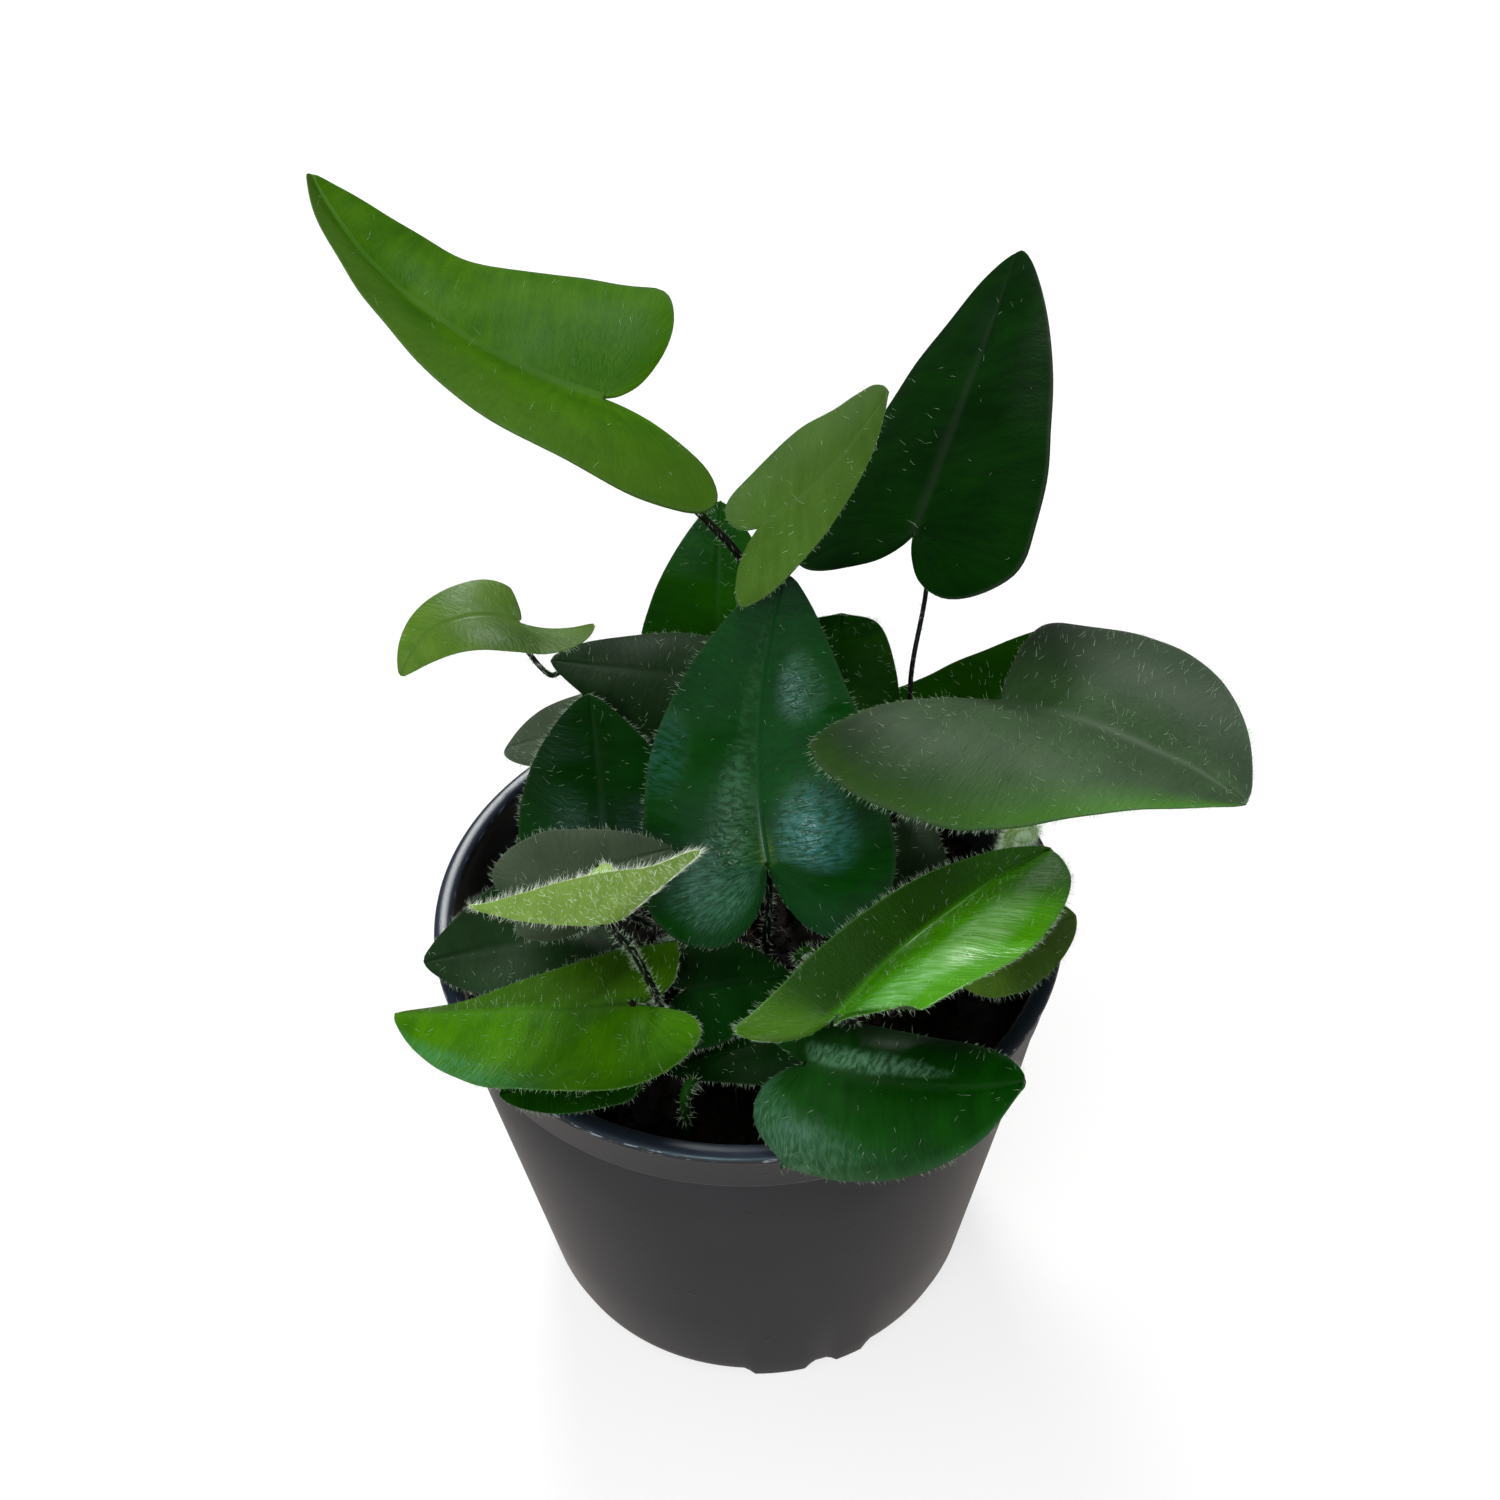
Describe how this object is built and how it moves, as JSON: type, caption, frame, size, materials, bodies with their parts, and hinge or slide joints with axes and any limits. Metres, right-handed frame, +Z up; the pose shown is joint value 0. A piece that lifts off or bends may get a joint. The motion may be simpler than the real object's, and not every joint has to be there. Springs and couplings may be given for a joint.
{
  "type": "heart fern",
  "caption": "Heart fern in a charcoal plastic grower's pot, with glossy green heart-shaped fronds on thin black hairy stipes.",
  "frame": {"origin": "centre of the pot's flat underside, on the surface that the pot stands on", "axes": "+Z up along the pot's axis; +X to the right and -Y towards the viewer of the front view, with the tallest frond leaning to -X"},
  "size_m": [0.1551, 0.161, 0.2299],
  "materials": {
    "blade_green": "leathery leaf with a soft gloss",
    "stipe_black": "wiry and dark, satin",
    "crozier_green": "soft and woolly",
    "pot_charcoal": "satin",
    "soil_brown": "moist potting mix of bark and peat"
  },
  "bodies": {
    "root": {"blade_back_middle": "blade_green", "blade_back_right": "blade_green", "blade_centre_large": "blade_green", "blade_front_left_bright": "blade_green", "blade_front_left_rim": "blade_green", "blade_front_left_young": "blade_green", "blade_front_low_dark": "blade_green", "blade_front_low_middle": "blade_green", "blade_front_right_glossy": "blade_green", "blade_front_right_pointed": "blade_green", "blade_left_back": "blade_green", "blade_left_low_grey": "blade_green", "blade_left_rim": "blade_green", "blade_left_small_curled": "blade_green", "blade_left_upright": "blade_green", "blade_middle_left": "blade_green", "blade_right_back": "blade_green", "blade_right_large": "blade_green", "blade_right_low": "blade_green", "blade_right_rim": "blade_green", "blade_tall_left": "blade_green", "blade_tall_right": "blade_green", "blade_upper_middle": "blade_green", "crozier_centre": "crozier_green", "crozier_front": "crozier_green", "crozier_right_woolly": "crozier_green", "pot": "pot_charcoal", "soil": "soil_brown", "stipe_back_middle": "stipe_black", "stipe_back_right": "stipe_black", "stipe_centre_large": "stipe_black", "stipe_front_left_bright": "stipe_black", "stipe_front_left_rim": "stipe_black", "stipe_front_left_young": "stipe_black", "stipe_front_low_dark": "stipe_black", "stipe_front_low_middle": "stipe_black", "stipe_front_right_glossy": "stipe_black", "stipe_front_right_pointed": "stipe_black", "stipe_left_back": "stipe_black", "stipe_left_low_grey": "stipe_black", "stipe_left_rim": "stipe_black", "stipe_left_small_curled": "stipe_black", "stipe_left_upright": "stipe_black", "stipe_middle_left": "stipe_black", "stipe_right_back": "stipe_black", "stipe_right_large": "stipe_black", "stipe_right_low": "stipe_black", "stipe_right_rim": "stipe_black", "stipe_tall_left": "stipe_black", "stipe_tall_right": "stipe_black", "stipe_upper_middle": "stipe_black"}
  },
  "joints": []
}
